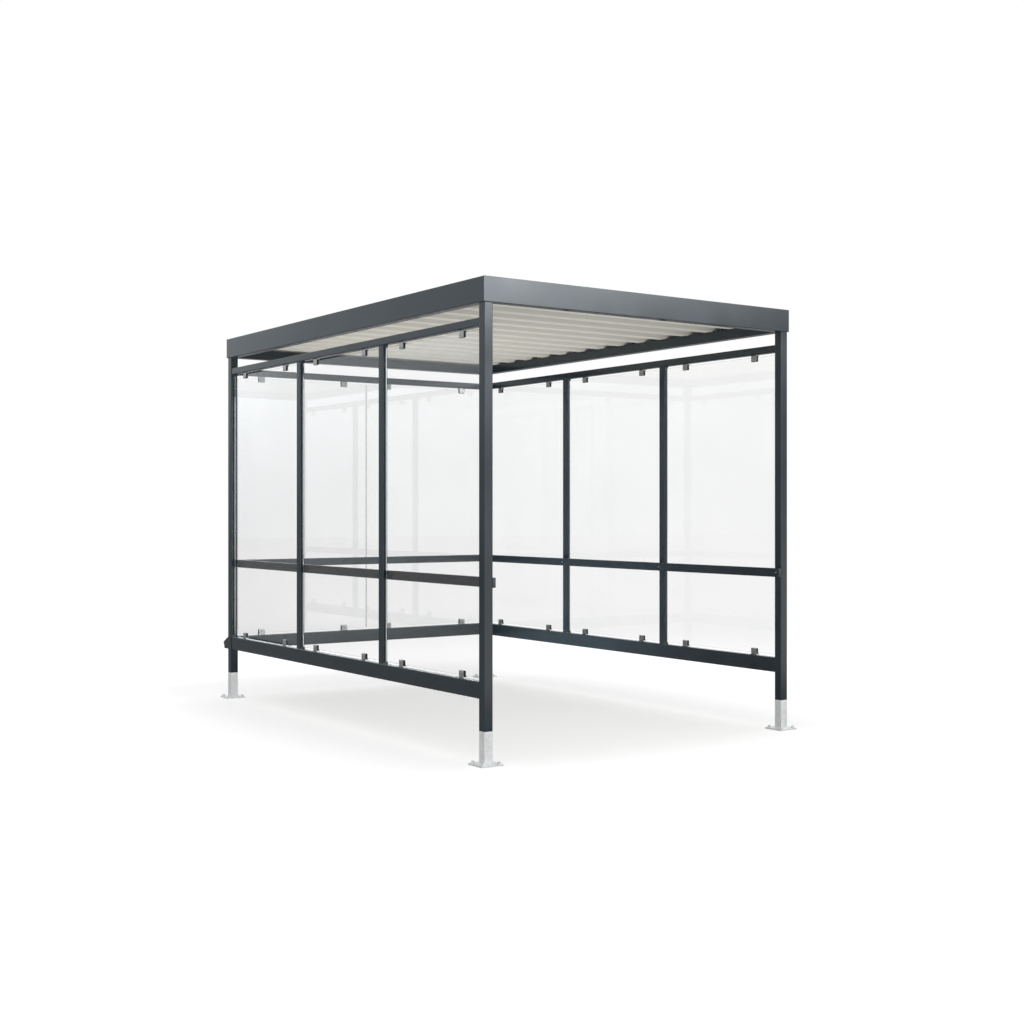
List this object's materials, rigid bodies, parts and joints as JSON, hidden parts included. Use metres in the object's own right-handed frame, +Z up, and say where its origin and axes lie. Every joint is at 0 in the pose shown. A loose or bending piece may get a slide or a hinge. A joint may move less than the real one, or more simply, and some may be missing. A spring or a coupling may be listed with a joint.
{
  "type": "shopping cart shelter",
  "caption": "Open-fronted steel shelter for shopping carts: square posts on buried feet, clipped glass side and rear walls, bumper rails and a ribbed roof behind a plain fascia.",
  "frame": {"origin": "middle of the shelter's bounding box in plan, at the undersides of the four base plates; the ground line is 0.2 m above it", "axes": "+Z up, -Y towards the open front, +Y towards the glazed rear wall, +X to the right seen from the open front"},
  "size_m": [2.56, 3.845, 2.85],
  "materials": {
    "frame_paint": "satin anthracite powder coat",
    "fascia_paint": "satin anthracite powder coat on folded sheet",
    "roof_paint": "off-white coil coating, low gloss",
    "galvanised": "hot-dip galvanised, dull spangle",
    "glass": "clear toughened safety glass, polished edges",
    "clip_metal": "satin cast stainless",
    "rubber": "matt black",
    "cap_plastic": "fine-grained black moulding"
  },
  "bodies": {
    "root": {"post_front_left": "frame_paint", "post_front_right": "frame_paint", "post_rear_left": "frame_paint", "post_rear_right": "frame_paint", "foot_front_left": "galvanised", "foot_front_right": "galvanised", "foot_rear_left": "galvanised", "foot_rear_right": "galvanised", "left_top_rail": "frame_paint", "left_bottom_rail": "frame_paint", "left_bumper_rail": "frame_paint", "left_mullion_front": "frame_paint", "left_mullion_rear": "frame_paint", "left_glass_front": "glass", "left_glass_middle": "glass", "left_glass_rear": "glass", "left_glass_clips": "clip_metal", "right_top_rail": "frame_paint", "right_bottom_rail": "frame_paint", "right_bumper_rail": "frame_paint", "right_mullion_front": "frame_paint", "right_mullion_rear": "frame_paint", "right_glass_front": "glass", "right_glass_middle": "glass", "right_glass_rear": "glass", "right_glass_clips": "clip_metal", "rear_top_rail": "frame_paint", "rear_bottom_rail": "frame_paint", "rear_bumper_rail": "frame_paint", "rear_glass_left": "glass", "rear_glass_right": "glass", "rear_glass_clips": "clip_metal", "clip_rubbers": "rubber", "bumper_rail_caps": "cap_plastic", "roof_beam_left": "frame_paint", "roof_beam_right": "frame_paint", "roof_beam_front": "frame_paint", "roof_beam_rear": "frame_paint", "roof_sheet": "roof_paint", "fascia_left": "fascia_paint", "fascia_right": "fascia_paint", "fascia_front": "fascia_paint", "fascia_rear": "fascia_paint", "rain_spout_left": "frame_paint", "rain_spout_right": "frame_paint"}
  },
  "joints": []
}
